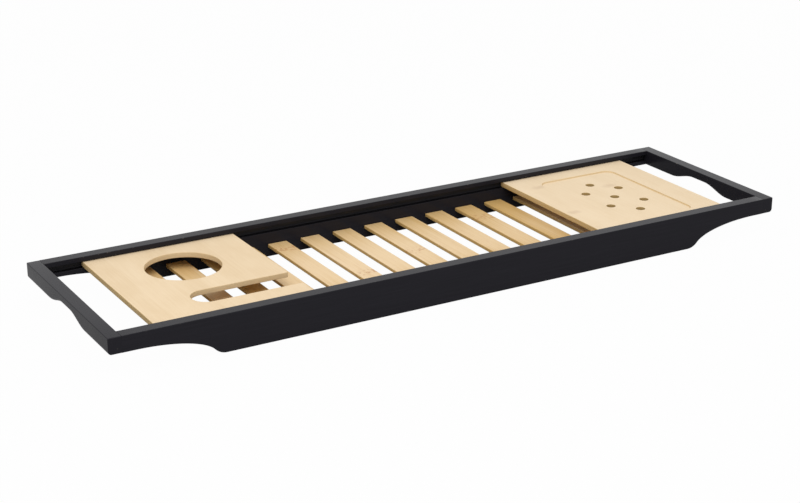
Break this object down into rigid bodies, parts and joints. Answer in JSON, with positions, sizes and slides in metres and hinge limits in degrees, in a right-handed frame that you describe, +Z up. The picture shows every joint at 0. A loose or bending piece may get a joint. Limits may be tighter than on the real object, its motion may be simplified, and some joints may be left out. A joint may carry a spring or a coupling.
{
  "type": "bath caddy",
  "caption": "Slatted bamboo tray in a black frame that lies across a bath, with a sliding cup and glass board and a sliding soap board",
  "frame": {"origin": "under the middle of the caddy, on the plane of the side rails' flat undersides", "axes": "+X along the caddy from the cup board to the soap board, +Y away from the bather, +Z up"},
  "size_m": [0.7, 0.2, 0.035],
  "materials": {
    "black_lacquered_bamboo": "satin black lacquer",
    "slat_bamboo": "clear satin lacquer over tan bamboo",
    "board_bamboo": "clear satin lacquer over pale bamboo",
    "dowel_wood": "bare beech"
  },
  "bodies": {
    "frame": {"side_rail_front": "black_lacquered_bamboo", "side_rail_rear": "black_lacquered_bamboo", "end_rail_left": "black_lacquered_bamboo", "end_rail_right": "black_lacquered_bamboo", "slat_01": "slat_bamboo", "slat_02": "slat_bamboo", "slat_03": "slat_bamboo", "slat_04": "slat_bamboo", "slat_05": "slat_bamboo", "slat_06": "slat_bamboo", "slat_07": "slat_bamboo", "slat_08": "slat_bamboo", "slat_09": "slat_bamboo", "slat_10": "slat_bamboo", "slat_11": "slat_bamboo", "slat_12": "slat_bamboo", "slat_13": "slat_bamboo", "slat_14": "slat_bamboo", "slat_15": "slat_bamboo", "dowel_front_left": "dowel_wood", "dowel_front_right": "dowel_wood", "dowel_rear_left": "dowel_wood", "dowel_rear_right": "dowel_wood"},
    "cup_board": {"cup_board": "board_bamboo"},
    "soap_board": {"soap_board": "board_bamboo"}
  },
  "joints": [
    {"name": "cup_board_slide", "type": "slide", "parent": "frame", "child": "cup_board", "axis": [1, 0, 0], "range_m": [-0.0363, 0.1509]},
    {"name": "soap_board_slide", "type": "slide", "parent": "frame", "child": "soap_board", "axis": [1, 0, 0], "range_m": [-0.1528, 0.0344]}
  ]
}
